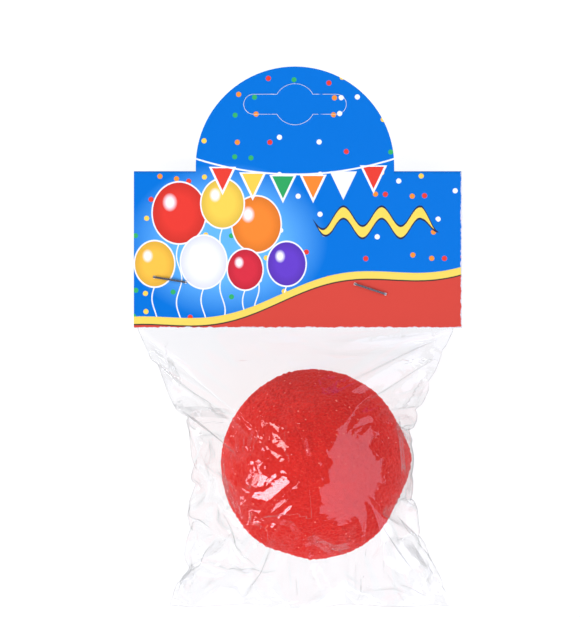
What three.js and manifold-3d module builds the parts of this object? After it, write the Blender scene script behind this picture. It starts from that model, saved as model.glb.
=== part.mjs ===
// A foam clown nose in its shop pack: a slit sponge ball inside a clear film bag,
// whose neck is folded into a printed header card and held by two wire staples.
// The pack lies on its back. It rests on the bag under the ball and on the tip of
// the card's round tab. Millimetres, +Z up, +Y towards the tab. The origin is the
// point of the surface straight below the middle of the ball.
import * as THREE from 'three';
import { mergeVertices } from 'three/addons/utils/BufferGeometryUtils.js';
import Module from 'manifold-3d';

const wasm = await Module();
wasm.setup();

// Sponge ball
const ballDiameter = 50;
const slitMouth = 6;
const slitTip = 1;
const slitDepth = 28;
const slitRootLength = 24;
const slitReachDeg = 55;
const slitTurnDeg = 42;
const slitOffset = 0.8;

// Clear film bag
const filmThickness = 0.2;
const neckGap = 0.2;
const ballClearance = 0.6;
const restRadius = 6;
const bagInset = 1.2;
const bagOffset = -0.7;
const sealWidth = 75.2;
const sealOffset = 3;
const sealBand = 3;
const edgeBand = 1;
const leftMargin = 7.4;
const rightMargin = 2.9;
const cardToBall = 11.1;
const ballToSeal = 12.9;
const mouthBelowFold = 3;

// Header card
const boardThickness = 0.4;
const layerClearance = 0.1;
const cardWidth = 87;
const panelHeight = 41.6;
const ballOffset = 4.5;
const tabRadius = 26.3;
const tabNeck = 1.4;
const tabOffset = -0.8;
const slotWidth = 27.2;
const slotHeight = 5.3;
const slotRound = 10.9;
const slotDrop = 10;
const slotKerf = 0.1;
const slotNick = 1.2;

// Staples
const crownWidth = 8.9;
const wireWidth = 0.5;
const wireThickness = 0.4;
const clinchedLength = 3.2;
const legClearance = 0.1;

// Outline of the filled bag between the card's edge and the seal. drop is a share
// of that length. left and right go from the waist beside the ball, 0, to the
// bag's own corner above or below it, 1.
const OUTLINE = [
  { drop: 0.0, left: 1.0, right: 1.0 },
  { drop: 0.08, left: 0.88, right: 0.79 },
  { drop: 0.15, left: 0.71, right: 0.6 },
  { drop: 0.21, left: 0.55, right: 0.38 },
  { drop: 0.26, left: 0.36, right: 0.2 },
  { drop: 0.31, left: 0.1, right: 0.02 },
  { drop: 0.37, left: 0.03, right: 0.0 },
  { drop: 0.44, left: -0.04, right: 0.06 },
  { drop: 0.51, left: 0.0, right: 0.1 },
  { drop: 0.58, left: 0.04, right: 0.0 },
  { drop: 0.65, left: 0.07, right: 0.0 },
  { drop: 0.78, left: 0.07, right: 0.02 },
  { drop: 0.85, left: 0.07, right: 0.38 },
  { drop: 0.94, left: 0.5, right: 0.71 },
  { drop: 1.0, left: 1.0, right: 1.0 },
];

// Main folds of the film that run outwards from the ball. bearing is counted from
// +X towards +Y, spread is half the fold's width, and height is a share of the
// ball's radius, lifted halfway along the free film.
const FOLDS = [
  { bearing: 148, spread: 12, height: 0.1 },
  { bearing: 168, spread: 9, height: -0.05 },
  { bearing: 41, spread: 12, height: 0.08 },
  { bearing: 90, spread: 22, height: -0.05 },
  { bearing: 226, spread: 11, height: 0.1 },
  { bearing: 246, spread: 10, height: -0.04 },
  { bearing: 289, spread: 9, height: 0.09 },
  { bearing: 268, spread: 10, height: -0.05 },
  { bearing: 318, spread: 12, height: 0.08 },
];

// Dents of the soft ball. bearing is as above, lift is the angle towards the front,
// depth a share of the radius, and spread the angle at which a dent has faded.
const DENTS = [
  { bearing: 334, lift: 10, depth: 0.045, spread: 26 },
  { bearing: 30, lift: 5, depth: 0.022, spread: 22 },
  { bearing: 152, lift: 20, depth: 0.018, spread: 24 },
  { bearing: 288, lift: 0, depth: 0.015, spread: 16 },
  { bearing: 242, lift: -10, depth: 0.02, spread: 24 },
];

// Where the staples' crowns lie on the front panel. across is a share of its width,
// from its middle, and up a share of its height, from its lower edge. turn is in
// degrees.
const STAPLES = [
  { name: 'staple_left', across: -0.39, up: 0.308, turn: -9.3 },
  { name: 'staple_right', across: 0.22, up: 0.248, turn: -18.4 },
];

// How finely round surfaces are cut into flat facets
const ballFacetsRound = 48;
const ballFacetsDown = 32;
const frontArcFacets = 7;
const frontFreeFacets = 4;
const backArcFacets = 5;
const backFreeFacets = 2;
const edgeFacets = 13;
const tabFacets = 24;
const slotFacets = 10;
const bendFacets = 8;
const wireFacets = 4;
const slitFacets = 10;

// Places that follow from the sizes, in the pack's own plane: +Y towards the tab,
// +Z towards the front, origin at the middle of the ball
const ballRadius = ballDiameter / 2;
const filmRadius = ballRadius + ballClearance + filmThickness;
const neckThickness = 2 * filmThickness + neckGap;
const cardInside = neckThickness / 2 + layerClearance;
const cardOutside = cardInside + boardThickness;
const cardMiddle = -ballOffset;
const cardEdge = ballRadius + cardToBall;
const cardFold = cardEdge + panelHeight;
const tabTip = cardFold + tabNeck + tabRadius;
const tabMiddle = cardMiddle + tabOffset;
const tabCentre = tabTip - tabRadius;
const bagWidth = cardWidth - 2 * bagInset;
const bagMiddle = cardMiddle + bagOffset;
const bagTop = cardFold - mouthBelowFold;
const bagEdge = cardEdge - layerClearance;
const sealEdge = -(ballRadius + ballToSeal);
const sealMiddle = cardMiddle + sealOffset;

// The pack leans until the back of the tab's tip meets the surface
const leanReach = Math.hypot(tabTip, cardInside);
const lean = Math.asin(filmRadius / leanReach) + Math.atan2(cardInside, tabTip);

// A flat shape is drawn in x and y. These put it in y and z with its thickness
// along x, and in x and z with its thickness along y.
const alongX = new THREE.Matrix4().set(0, 0, 1, 0, 1, 0, 0, 0, 0, 1, 0, 0, 0, 0, 0, 1);
const alongY = new THREE.Matrix4().makeRotationX(Math.PI / 2);

const deg = THREE.MathUtils.degToRad;
const packPose = new THREE.Matrix4()
  .makeTranslation(0, 0, filmRadius)
  .multiply(new THREE.Matrix4().makeRotationX(-lean));

function solidOf(geometry) {
  const bare = geometry.clone();
  bare.deleteAttribute('normal');
  bare.deleteAttribute('uv');
  const merged = mergeVertices(bare, 1e-4);
  return new wasm.Manifold(new wasm.Mesh({
    numProp: 3,
    vertProperties: Float32Array.from(merged.attributes.position.array),
    triVerts: Uint32Array.from(merged.index.array),
  }));
}

function geometryOf(solid) {
  const mesh = solid.getMesh();
  const geometry = new THREE.BufferGeometry();
  geometry.setAttribute('position', new THREE.BufferAttribute(mesh.vertProperties, 3));
  geometry.setIndex(new THREE.BufferAttribute(mesh.triVerts, 1));
  geometry.computeVertexNormals();
  return geometry;
}

function box(x0, x1, y0, y1, z0, z1) {
  return new THREE.BoxGeometry(x1 - x0, y1 - y0, z1 - z0)
    .translate((x0 + x1) / 2, (y0 + y1) / 2, (z0 + z1) / 2);
}

function plate(shape, z0, z1, curveSegments) {
  return new THREE.ExtrudeGeometry(shape, { depth: z1 - z0, bevelEnabled: false, curveSegments })
    .translate(0, 0, z0);
}

// Sponge ball with its dents and the slit that grips the wearer's nose

function dentAt(direction) {
  let depth = 0;
  for (const dent of DENTS) {
    const lift = deg(dent.lift);
    const bearing = deg(dent.bearing);
    const middle = new THREE.Vector3(
      Math.cos(lift) * Math.cos(bearing), Math.cos(lift) * Math.sin(bearing), Math.sin(lift));
    const away = direction.angleTo(middle) / deg(dent.spread);
    depth += dent.depth * Math.exp(-2 * away * away);
  }
  return depth;
}

function spongeBall() {
  const geometry = new THREE.SphereGeometry(ballRadius, ballFacetsRound, ballFacetsDown);
  const position = geometry.attributes.position;
  const point = new THREE.Vector3();
  for (let i = 0; i < position.count; i += 1) {
    point.fromBufferAttribute(position, i);
    const depth = dentAt(point.clone().normalize());
    point.multiplyScalar(1 - depth);
    position.setXYZ(i, point.x, point.y, point.z);
  }
  return solidOf(geometry);
}

// The slit is a wedge seen along its length, a blade seen from the side and an eye
// seen into its mouth. It is drawn with its mouth towards -Y, then turned down.
function slitCut() {
  const beyond = 1.1 * ballRadius;
  const rootAt = slitDepth - ballRadius;
  const tipRadius = slitTip / 2;
  const flare = slitMouth / 2 + (slitMouth - slitTip) / 2 * (beyond - ballRadius) / slitDepth;
  const wedge = new THREE.Shape();
  wedge.moveTo(-flare, -beyond);
  wedge.lineTo(flare, -beyond);
  wedge.absarc(0, rootAt - tipRadius, tipRadius, 0, Math.PI, false);

  const mouthAt = -ballRadius * Math.cos(deg(slitReachDeg));
  const mouthHalf = ballRadius * Math.sin(deg(slitReachDeg));
  const rootHalf = slitRootLength / 2;
  const farHalf = rootHalf + (mouthHalf - rootHalf) * (rootAt + beyond) / (rootAt - mouthAt);
  const blade = new THREE.Shape([
    new THREE.Vector2(rootAt, rootHalf),
    new THREE.Vector2(-beyond, farHalf),
    new THREE.Vector2(-beyond, -farHalf),
    new THREE.Vector2(rootAt, -rootHalf),
  ]);

  const eyeRadius = (mouthHalf ** 2 + (slitMouth / 2) ** 2) / slitMouth;
  const eyeCentre = eyeRadius - slitMouth / 2;
  const eyeAngle = Math.asin(mouthHalf / eyeRadius);
  const eye = new THREE.Shape();
  eye.absarc(-eyeCentre, 0, eyeRadius, -eyeAngle, eyeAngle, false);
  eye.absarc(eyeCentre, 0, eyeRadius, Math.PI - eyeAngle, Math.PI + eyeAngle, false);

  return solidOf(plate(wedge, -beyond, beyond, slitFacets))
    .intersect(solidOf(plate(blade, -slitMouth, slitMouth, 1).applyMatrix4(alongX)))
    .intersect(solidOf(plate(eye, -beyond, beyond, slitFacets).applyMatrix4(alongY)))
    .rotate([slitTurnDeg, 0, 0])
    .translate([slitOffset, 0, 0]);
}

// Clear film bag, worked out round the upright line through the middle of the ball

function between(from, to, share) {
  return from + (to - from) * share;
}

// The bag's outline in the pack's plane, anticlockwise from the left corner at the
// card's edge, with the width of the flat band along each stretch
function bagOutline() {
  const drop = bagEdge - sealEdge;
  const waist = { left: -(ballRadius + leftMargin), right: ballRadius + rightMargin };
  const mouth = { left: bagMiddle - bagWidth / 2, right: bagMiddle + bagWidth / 2 };
  const seal = { left: sealMiddle - sealWidth / 2, right: sealMiddle + sealWidth / 2 };
  const sideX = (row, side) => {
    const corner = row.drop < 0.5 ? mouth[side] : seal[side];
    return between(waist[side], corner, row[side]);
  };
  const points = [];
  const sidePoint = (row, side) => {
    const band = row.drop === 1 ? sealBand : edgeBand;
    points.push({ x: sideX(row, side), y: bagEdge - drop * row.drop, band });
  };
  for (const row of OUTLINE) {
    sidePoint(row, 'left');
  }
  for (let i = 1; i < edgeFacets; i += 1) {
    points.push({ x: between(seal.left, seal.right, i / edgeFacets), y: sealEdge, band: sealBand });
  }
  for (const row of [...OUTLINE].reverse()) {
    sidePoint(row, 'right');
  }
  for (let i = 1; i < edgeFacets; i += 1) {
    points.push({ x: between(mouth.right, mouth.left, i / edgeFacets), y: bagEdge, band: edgeBand });
  }
  return points;
}

function foldLift(bearing) {
  let lift = 0;
  for (const fold of FOLDS) {
    const away = Math.abs(((bearing - fold.bearing + 540) % 360) - 180) / fold.spread;
    lift += fold.height * ballRadius * Math.max(0, 1 - away);
  }
  return lift;
}

// One meridian of the film: an arc on the ball, a straight stretch off it at a
// tangent, and the flat band. side is 1 for the front film and -1 for the back.
function filmMeridian(rim, skin, side) {
  const arcSteps = side > 0 ? frontArcFacets : backArcFacets;
  const freeSteps = side > 0 ? frontFreeFacets : backFreeFacets;
  const end = new THREE.Vector2(rim.reach, rim.level + side * skin.edge / 2);
  const leave = Math.atan2(end.y, end.x) + side * Math.acos(skin.radius / end.length());
  const top = Math.PI / 2;
  const start = side > 0 ? top : -top + Math.asin(restRadius / skin.radius);
  const points = side > 0 ? [] : [new THREE.Vector2(restRadius, -skin.radius)];
  for (let i = 1; i <= arcSteps; i += 1) {
    const angle = between(start, leave, i / arcSteps);
    points.push(new THREE.Vector2(Math.cos(angle), Math.sin(angle)).multiplyScalar(skin.radius));
  }
  const off = points[points.length - 1];
  for (let i = 1; i <= freeSteps; i += 1) {
    const share = i / freeSteps;
    const height = between(off.y, end.y, share) + rim.lift * Math.sin(Math.PI * share);
    points.push(new THREE.Vector2(between(off.x, end.x, share), height));
  }
  return points;
}

// A closed lens between the front film and the back film. skin gives the radius
// round the ball, the thickness at the edge, and whether the flat band is part of it.
function lens(skin) {
  const slope = Math.tan(lean);
  const flat = Math.cos(lean);
  const meridians = bagOutline().map((corner) => {
    const planY = corner.y * flat;
    const full = Math.hypot(corner.x, planY);
    const reach = full - corner.band;
    const cos = corner.x / full;
    const sin = planY / full;
    const bearing = THREE.MathUtils.radToDeg(Math.atan2(corner.y, corner.x));
    const level = -reach * sin * slope;
    const front = filmMeridian({ reach, level, lift: foldLift(bearing) }, skin, 1);
    const back = filmMeridian({ reach, level, lift: 0 }, skin, -1).reverse();
    const rim = skin.banded ? [1, -1].map((side) => new THREE.Vector2(
      full, -planY * slope + side * skin.edge / 2)) : [];
    return [...front, ...rim, ...back].map((p) => new THREE.Vector3(p.x * cos, p.x * sin, p.y));
  });
  const rings = meridians[0].length;
  const count = meridians.length;
  const vertices = [0, 0, skin.radius];
  for (const meridian of meridians) {
    for (const p of meridian) {
      vertices.push(p.x, p.y, p.z);
    }
  }
  vertices.push(0, 0, -skin.radius);
  const foot = 1 + rings * count;
  const faces = [];
  for (let i = 0; i < count; i += 1) {
    const a = 1 + rings * i;
    const b = 1 + rings * ((i + 1) % count);
    faces.push(0, a, b);
    for (let k = 0; k < rings - 1; k += 1) {
      faces.push(a + k, a + k + 1, b + k, b + k, a + k + 1, b + k + 1);
    }
    faces.push(a + rings - 1, foot, b + rings - 1);
  }
  const geometry = new THREE.BufferGeometry();
  geometry.setAttribute('position', new THREE.BufferAttribute(Float32Array.from(vertices), 3));
  geometry.setIndex(faces);
  return solidOf(geometry.translate(0, 0, filmRadius));
}

function clearBag(legHoles) {
  const left = bagMiddle - bagWidth / 2;
  const right = bagMiddle + bagWidth / 2;
  const overlap = 2 * edgeBand;
  const outside = lens({ radius: filmRadius, edge: neckThickness, banded: true });
  const inside = lens({ radius: filmRadius - filmThickness, edge: neckGap, banded: false });
  const neck = box(left, right, bagEdge - overlap, bagTop, -neckThickness / 2, neckThickness / 2);
  const mouth = box(left + overlap, right - overlap, bagEdge - overlap, bagTop + overlap,
    -neckGap / 2, neckGap / 2);
  const placed = (geometry) => solidOf(geometry.applyMatrix4(packPose));
  const hollow = inside.add(placed(mouth));
  let bag = outside.add(placed(neck)).subtract(hollow);
  for (const hole of legHoles) {
    bag = bag.subtract(placed(hole.clone()));
  }
  return bag;
}

// Header card: one board folded over the bag's neck, with a round tab cut from the
// back panel and standing up from the front one

function tabShape(bottom) {
  const shape = new THREE.Shape();
  shape.moveTo(tabMiddle - tabRadius, bottom);
  shape.lineTo(tabMiddle + tabRadius, bottom);
  shape.lineTo(tabMiddle + tabRadius, tabCentre);
  shape.absarc(tabMiddle, tabCentre, tabRadius, 0, Math.PI, false);
  return shape;
}

// The window that the tab leaves in the back panel is its mirror image in the fold
function backWindowShape() {
  const centre = 2 * cardFold - tabCentre;
  const shape = new THREE.Shape();
  shape.moveTo(tabMiddle + tabRadius, cardFold);
  shape.lineTo(tabMiddle - tabRadius, cardFold);
  shape.lineTo(tabMiddle - tabRadius, centre);
  shape.absarc(tabMiddle, centre, tabRadius, Math.PI, 2 * Math.PI, false);
  return shape;
}

// A hanging slot's outline: a bar with round ends and a disc across its middle
function slotShape(grow) {
  const half = slotHeight / 2 + grow;
  const disc = slotRound / 2 + grow;
  const end = slotWidth / 2 - slotHeight / 2;
  const meet = Math.asin(half / disc);
  const right = Math.PI / 2;
  const shape = new THREE.Shape();
  shape.absarc(end, 0, half, -right, right, false);
  shape.absarc(0, 0, disc, meet, Math.PI - meet, false);
  shape.absarc(-end, 0, half, right, 3 * right, false);
  shape.absarc(0, 0, disc, Math.PI + meet, 2 * Math.PI - meet, false);
  return shape;
}

// The slot is only cut round, so that its flap still hangs on four nicks
function slotKerfCut() {
  const back = -cardOutside;
  const front = 2 * cardOutside;
  let ring = solidOf(plate(slotShape(slotKerf / 2), back, front, slotFacets))
    .subtract(solidOf(plate(slotShape(-slotKerf / 2), back, front, slotFacets)));
  const nicks = [
    { x: -slotWidth / 4, y: -slotHeight / 2 },
    { x: slotWidth / 4, y: -slotHeight / 2 },
    { x: 0, y: slotRound / 2 },
    { x: slotWidth / 4, y: slotHeight / 2 },
  ];
  for (const nick of nicks) {
    ring = ring.subtract(solidOf(box(nick.x - slotNick / 2, nick.x + slotNick / 2,
      nick.y - slotNick, nick.y + slotNick, back, front)));
  }
  return ring.translate([tabMiddle, tabTip - slotDrop, 0]);
}

function headerCard(legHoles) {
  const bendAt = cardFold - cardOutside;
  const profile = new THREE.Shape();
  profile.moveTo(cardEdge, cardInside);
  profile.lineTo(cardEdge, cardOutside);
  profile.absarc(bendAt, 0, cardOutside, Math.PI / 2, -Math.PI / 2, true);
  profile.lineTo(cardEdge, -cardOutside);
  profile.lineTo(cardEdge, -cardInside);
  profile.absarc(bendAt, 0, cardInside, -Math.PI / 2, Math.PI / 2, false);
  const board = plate(profile, cardMiddle - cardWidth / 2, cardMiddle + cardWidth / 2, bendFacets)
    .applyMatrix4(alongX);
  const bend = box(tabMiddle - tabRadius, tabMiddle + tabRadius, bendAt, cardFold + cardOutside,
    -2 * cardOutside, 2 * cardOutside);
  const window = plate(backWindowShape(), -2 * cardOutside, 0, tabFacets);
  const tab = plate(tabShape(bendAt - boardThickness), cardInside, cardOutside, tabFacets);
  let card = solidOf(board)
    .subtract(solidOf(bend))
    .subtract(solidOf(window))
    .add(solidOf(tab))
    .subtract(slotKerfCut());
  for (const hole of legHoles) {
    card = card.subtract(solidOf(hole));
  }
  return card;
}

// Staples: a flat wire with its crown on the front panel, its legs through the
// card and film, and their ends clinched inwards behind

function staplePose(row) {
  return new THREE.Matrix4()
    .makeTranslation(cardMiddle + row.across * cardWidth, cardEdge + row.up * panelHeight, 0)
    .multiply(new THREE.Matrix4().makeRotationZ(deg(row.turn)));
}

function legHolesOf(row) {
  const legMiddle = crownWidth / 2 - wireThickness / 2;
  const halfX = wireThickness / 2 + legClearance;
  const halfY = wireWidth / 2 + legClearance;
  return [-1, 1].map((side) => box(side * legMiddle - halfX, side * legMiddle + halfX,
    -halfY, halfY, -2 * cardOutside, 2 * cardOutside).applyMatrix4(staplePose(row)));
}

function stapleWire() {
  const inside = cardOutside + layerClearance;
  const outside = inside + wireThickness;
  const halfCrown = crownWidth / 2;
  const corner = wireThickness;
  const right = Math.PI / 2;
  const wire = new THREE.Shape();
  wire.moveTo(-halfCrown + clinchedLength, -outside);
  wire.absarc(-halfCrown + corner, -outside + corner, corner, -right, -2 * right, true);
  wire.absarc(-halfCrown + corner, outside - corner, corner, 2 * right, right, true);
  wire.absarc(halfCrown - corner, outside - corner, corner, right, 0, true);
  wire.absarc(halfCrown - corner, -outside + corner, corner, 0, -right, true);
  wire.lineTo(halfCrown - clinchedLength, -outside);
  wire.lineTo(halfCrown - clinchedLength, -inside);
  wire.lineTo(halfCrown - wireThickness, -inside);
  wire.lineTo(halfCrown - wireThickness, inside);
  wire.lineTo(-halfCrown + wireThickness, inside);
  wire.lineTo(-halfCrown + wireThickness, -inside);
  wire.lineTo(-halfCrown + clinchedLength, -inside);
  return plate(wire, -wireWidth / 2, wireWidth / 2, wireFacets).applyMatrix4(alongY);
}

// Materials

const sponge = new THREE.MeshStandardMaterial({ color: 0xdc2b22, roughness: 0.95, metalness: 0 });
const film = new THREE.MeshStandardMaterial({
  color: 0xf2f5f8, roughness: 0.08, metalness: 0, transparent: true, opacity: 0.25,
});
const printedBoard = new THREE.MeshStandardMaterial({ color: 0x0d78d8, roughness: 0.35, metalness: 0 });
const steelWire = new THREE.MeshStandardMaterial({ color: 0x8b8d92, roughness: 0.3, metalness: 1 });

function named(name, geometry, material) {
  const mesh = new THREE.Mesh(geometry, material);
  mesh.name = name;
  return mesh;
}

const clownNose = new THREE.Group();
const pack = new THREE.Group();
pack.position.z = filmRadius;
pack.rotation.x = -lean;
clownNose.add(pack);

const legHoles = STAPLES.flatMap(legHolesOf);
pack.add(named('nose', geometryOf(spongeBall().subtract(slitCut())), sponge));
pack.add(named('header_card', geometryOf(headerCard(legHoles)), printedBoard));
clownNose.add(named('bag', geometryOf(clearBag(legHoles)), film));
for (const row of STAPLES) {
  const staple = named(row.name, stapleWire(), steelWire);
  staple.applyMatrix4(staplePose(row));
  pack.add(staple);
}

export default clownNose;
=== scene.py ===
import math
import bpy
from mathutils import Matrix, Vector, noise


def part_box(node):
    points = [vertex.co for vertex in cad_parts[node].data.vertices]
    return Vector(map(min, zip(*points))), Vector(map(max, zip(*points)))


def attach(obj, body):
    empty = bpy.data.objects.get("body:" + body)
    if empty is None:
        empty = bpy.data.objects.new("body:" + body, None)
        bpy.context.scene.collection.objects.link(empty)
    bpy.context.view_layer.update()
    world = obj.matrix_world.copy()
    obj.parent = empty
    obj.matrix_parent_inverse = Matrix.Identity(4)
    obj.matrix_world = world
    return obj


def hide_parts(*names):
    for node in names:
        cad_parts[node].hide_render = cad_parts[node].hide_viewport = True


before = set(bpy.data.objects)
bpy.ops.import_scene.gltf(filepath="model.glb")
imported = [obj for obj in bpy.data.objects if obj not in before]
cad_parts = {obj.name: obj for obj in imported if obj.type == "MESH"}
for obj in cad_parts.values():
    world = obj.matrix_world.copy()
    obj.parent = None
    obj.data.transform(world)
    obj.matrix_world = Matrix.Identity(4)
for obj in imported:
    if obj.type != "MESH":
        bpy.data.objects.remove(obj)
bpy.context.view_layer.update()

mm = 0.001

# The pack's plane. The pack is flat but for the ball, and lies on its back: it rests
# on the film under the ball and on the tip of the card's tab. Its pieces are made in
# that plane, with the ball's middle at the origin, and leaned over together.
film_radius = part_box("bag")[1][2] / 2
tab_tip = 105.4 * mm
tab_back = 0.4 * mm
lean = math.asin(film_radius / math.hypot(tab_tip, tab_back)) + math.atan2(tab_back, tab_tip)
pack = Matrix.Translation((0, 0, film_radius)) @ Matrix.Rotation(-lean, 4, "X")
pack_front = pack.to_3x3() @ Vector((0, 0, 1))


def lay_in_pack(piece, node):
    piece.data.transform(pack)
    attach(piece, "root")
    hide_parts(node)


def deselect_all():
    if bpy.context.object and bpy.context.object.mode != "OBJECT":
        bpy.ops.object.mode_set(mode="OBJECT")
    bpy.ops.object.select_all(action="DESELECT")


def apply_modifiers(piece):
    deselect_all()
    piece.select_set(True)
    bpy.context.view_layer.objects.active = piece
    for modifier in list(piece.modifiers):
        bpy.ops.object.modifier_apply(modifier=modifier.name)


# Sponge ball: one ball of open-cell foam rubber, cut from a block and ground round.
# A slit cut into its lower back springs open a little and grips the wearer's nose.
# It is dented slightly where the bag presses on it.
ball_radius = 25 * mm
slit_mouth = 6 * mm
slit_tip = 1 * mm
slit_depth = 28 * mm
slit_root_length = 24 * mm
slit_reach = math.radians(55)
slit_turn = math.radians(42)
slit_offset = 0.8 * mm
slit_lips = 1.4 * mm
slit_least = 0.05 * mm
foam_voxel = 0.3 * mm
foam_lumps = 0.10 * mm
foam_fuzz = 0.52 * mm
valley_at = 0.8 * mm
valley_half = 1.4 * mm
valley_depth = 0.024

# bearing is counted from +X towards +Y, lift towards the front, both in degrees, as
# is spread. depth is a share of the ball's radius, and less than none is a bulge.
DENTS = [
    {"bearing": 334, "lift": 8, "depth": 0.058, "spread": 22},
    {"bearing": 5, "lift": 0, "depth": -0.026, "spread": 20},
    {"bearing": 28, "lift": 5, "depth": 0.026, "spread": 18},
    {"bearing": 104, "lift": 0, "depth": -0.016, "spread": 26},
    {"bearing": 151, "lift": 20, "depth": 0.022, "spread": 16},
    {"bearing": 232, "lift": 0, "depth": -0.020, "spread": 18},
    {"bearing": 251, "lift": 4, "depth": 0.016, "spread": 10},
    {"bearing": 270, "lift": 0, "depth": -0.018, "spread": 12},
]


def direction(bearing, lift):
    b, l = math.radians(bearing), math.radians(lift)
    return Vector((math.cos(l) * math.cos(b), math.cos(l) * math.sin(b), math.sin(l)))


def press_dents(ball):
    for vertex in ball.data.vertices:
        out = vertex.co.normalized()
        depth = 0
        for dent in DENTS:
            away = out.angle(direction(dent["bearing"], dent["lift"])) / math.radians(dent["spread"])
            depth += dent["depth"] * math.exp(-2 * away * away)
        low_front = max(0, -out.y) ** 2 * max(0, out.z + 0.2)
        across = (out.x * ball_radius - valley_at) / valley_half
        depth += valley_depth * low_front * math.exp(-across * across)
        vertex.co *= 1 - depth


def slit_blade():
    """The cut, a wedge from its end and an eye from its mouth. Its lips touch in front."""
    beyond = 1.1 * ball_radius
    root_at = slit_depth - ball_radius
    mouth_at = -ball_radius * math.cos(slit_reach)
    mouth_half = ball_radius * math.sin(slit_reach)
    root_half = slit_root_length / 2
    eye_radius = (mouth_half**2 + (slit_mouth / 2) ** 2) / slit_mouth
    deselect_all()
    bpy.ops.mesh.primitive_cube_add(size=2)
    blade = bpy.context.object
    bpy.ops.object.mode_set(mode="EDIT")
    bpy.ops.mesh.subdivide(number_cuts=15)
    bpy.ops.object.mode_set(mode="OBJECT")
    for vertex in blade.data.vertices:
        side, along, across = vertex.co
        y = -beyond + (root_at + beyond) * (along + 1) / 2
        half = root_half + (mouth_half - root_half) * (root_at - y) / (root_at - mouth_at)
        z = across * half
        wedge = slit_tip / 2 + (slit_mouth - slit_tip) / 2 * (root_at - y) / slit_depth
        eye = math.sqrt(max(eye_radius**2 - z * z, 0)) - (eye_radius - slit_mouth / 2)
        eye -= slit_lips * max(z / mouth_half, 0) ** 2
        vertex.co = (side * max(min(wedge, eye), slit_least), y, z)
    blade.data.transform(Matrix.Translation((slit_offset, 0, 0)) @ Matrix.Rotation(slit_turn, 4, "X"))
    return blade


deselect_all()
bpy.ops.mesh.primitive_ico_sphere_add(subdivisions=7, radius=ball_radius)
nose = bpy.context.object
nose.name = "nose_sponge"
press_dents(nose)
blade = slit_blade()
cut = nose.modifiers.new("slit", "BOOLEAN")
cut.operation = "DIFFERENCE"
cut.solver = "EXACT"
cut.object = blade
apply_modifiers(nose)
bpy.data.objects.remove(blade)
cells = nose.modifiers.new("cells", "REMESH")
cells.mode = "VOXEL"
cells.voxel_size = foam_voxel
even = nose.modifiers.new("even", "SMOOTH")
even.factor = 0.5
even.iterations = 3
apply_modifiers(nose)
foam_push = []
for vertex in nose.data.vertices:
    at = vertex.co / mm
    lump = foam_lumps * noise.noise(at * 0.22)
    fuzz = foam_fuzz * noise.noise(at * 1.4)
    foam_push.append(vertex.normal * (lump + fuzz - foam_fuzz / 2))
for vertex, push in zip(nose.data.vertices, foam_push):
    vertex.co += push
for face in nose.data.polygons:
    face.use_smooth = True


def finish_tree(name):
    """A new material, its nodes, and its Principled shader."""
    material = bpy.data.materials.new(name)
    material.use_nodes = True
    tree = material.node_tree
    shader = tree.nodes["Principled BSDF"]
    return material, tree, shader


def place_in_mm(tree):
    where = tree.nodes.new("ShaderNodeTexCoord")
    scale = tree.nodes.new("ShaderNodeMapping")
    scale.inputs["Scale"].default_value = (1 / mm, 1 / mm, 1 / mm)
    tree.links.new(where.outputs["Object"], scale.inputs["Vector"])
    return scale.outputs["Vector"]


def plug(tree, value, socket):
    """Links an output to a socket, or sets a plain value on it."""
    if isinstance(value, bpy.types.NodeSocket):
        tree.links.new(value, socket)
    else:
        socket.default_value = value


def math_of(tree, operation, *values, clamp=False):
    node = tree.nodes.new("ShaderNodeMath")
    node.operation = operation
    node.use_clamp = clamp
    for value, socket in zip(values, node.inputs):
        plug(tree, value, socket)
    return node.outputs[0]


def ramp_between(tree, value, low, high, to_low=0.0, to_high=1.0):
    node = tree.nodes.new("ShaderNodeMapRange")
    plug(tree, value, node.inputs["Value"])
    node.inputs["From Min"].default_value = low
    node.inputs["From Max"].default_value = high
    node.inputs["To Min"].default_value = to_low
    node.inputs["To Max"].default_value = to_high
    return node.outputs["Result"]


def colour_over(tree, under, mask, colour):
    node = tree.nodes.new("ShaderNodeMix")
    node.data_type = "RGBA"
    plug(tree, mask, node.inputs[0])
    plug(tree, under, node.inputs[6])
    plug(tree, colour, node.inputs[7])
    return node.outputs[2]


def noise_of(tree, place, size, detail=2.0, roughness=0.5):
    node = tree.nodes.new("ShaderNodeTexNoise")
    tree.links.new(place, node.inputs["Vector"])
    node.inputs["Scale"].default_value = 1 / size
    node.inputs["Detail"].default_value = detail
    node.inputs["Roughness"].default_value = roughness
    return node.outputs["Fac"]


def bump_of(tree, height, depth, strength=1.0):
    node = tree.nodes.new("ShaderNodeBump")
    node.inputs["Strength"].default_value = strength
    node.inputs["Distance"].default_value = depth
    tree.links.new(height, node.inputs["Height"])
    return node.outputs["Normal"]


def cells_of(tree, place, size):
    node = tree.nodes.new("ShaderNodeTexVoronoi")
    tree.links.new(place, node.inputs["Vector"])
    node.inputs["Scale"].default_value = 1 / size
    return node.outputs


def split(tree, vector):
    parts = tree.nodes.new("ShaderNodeSeparateXYZ")
    tree.links.new(vector, parts.inputs[0])
    return parts.outputs


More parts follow.
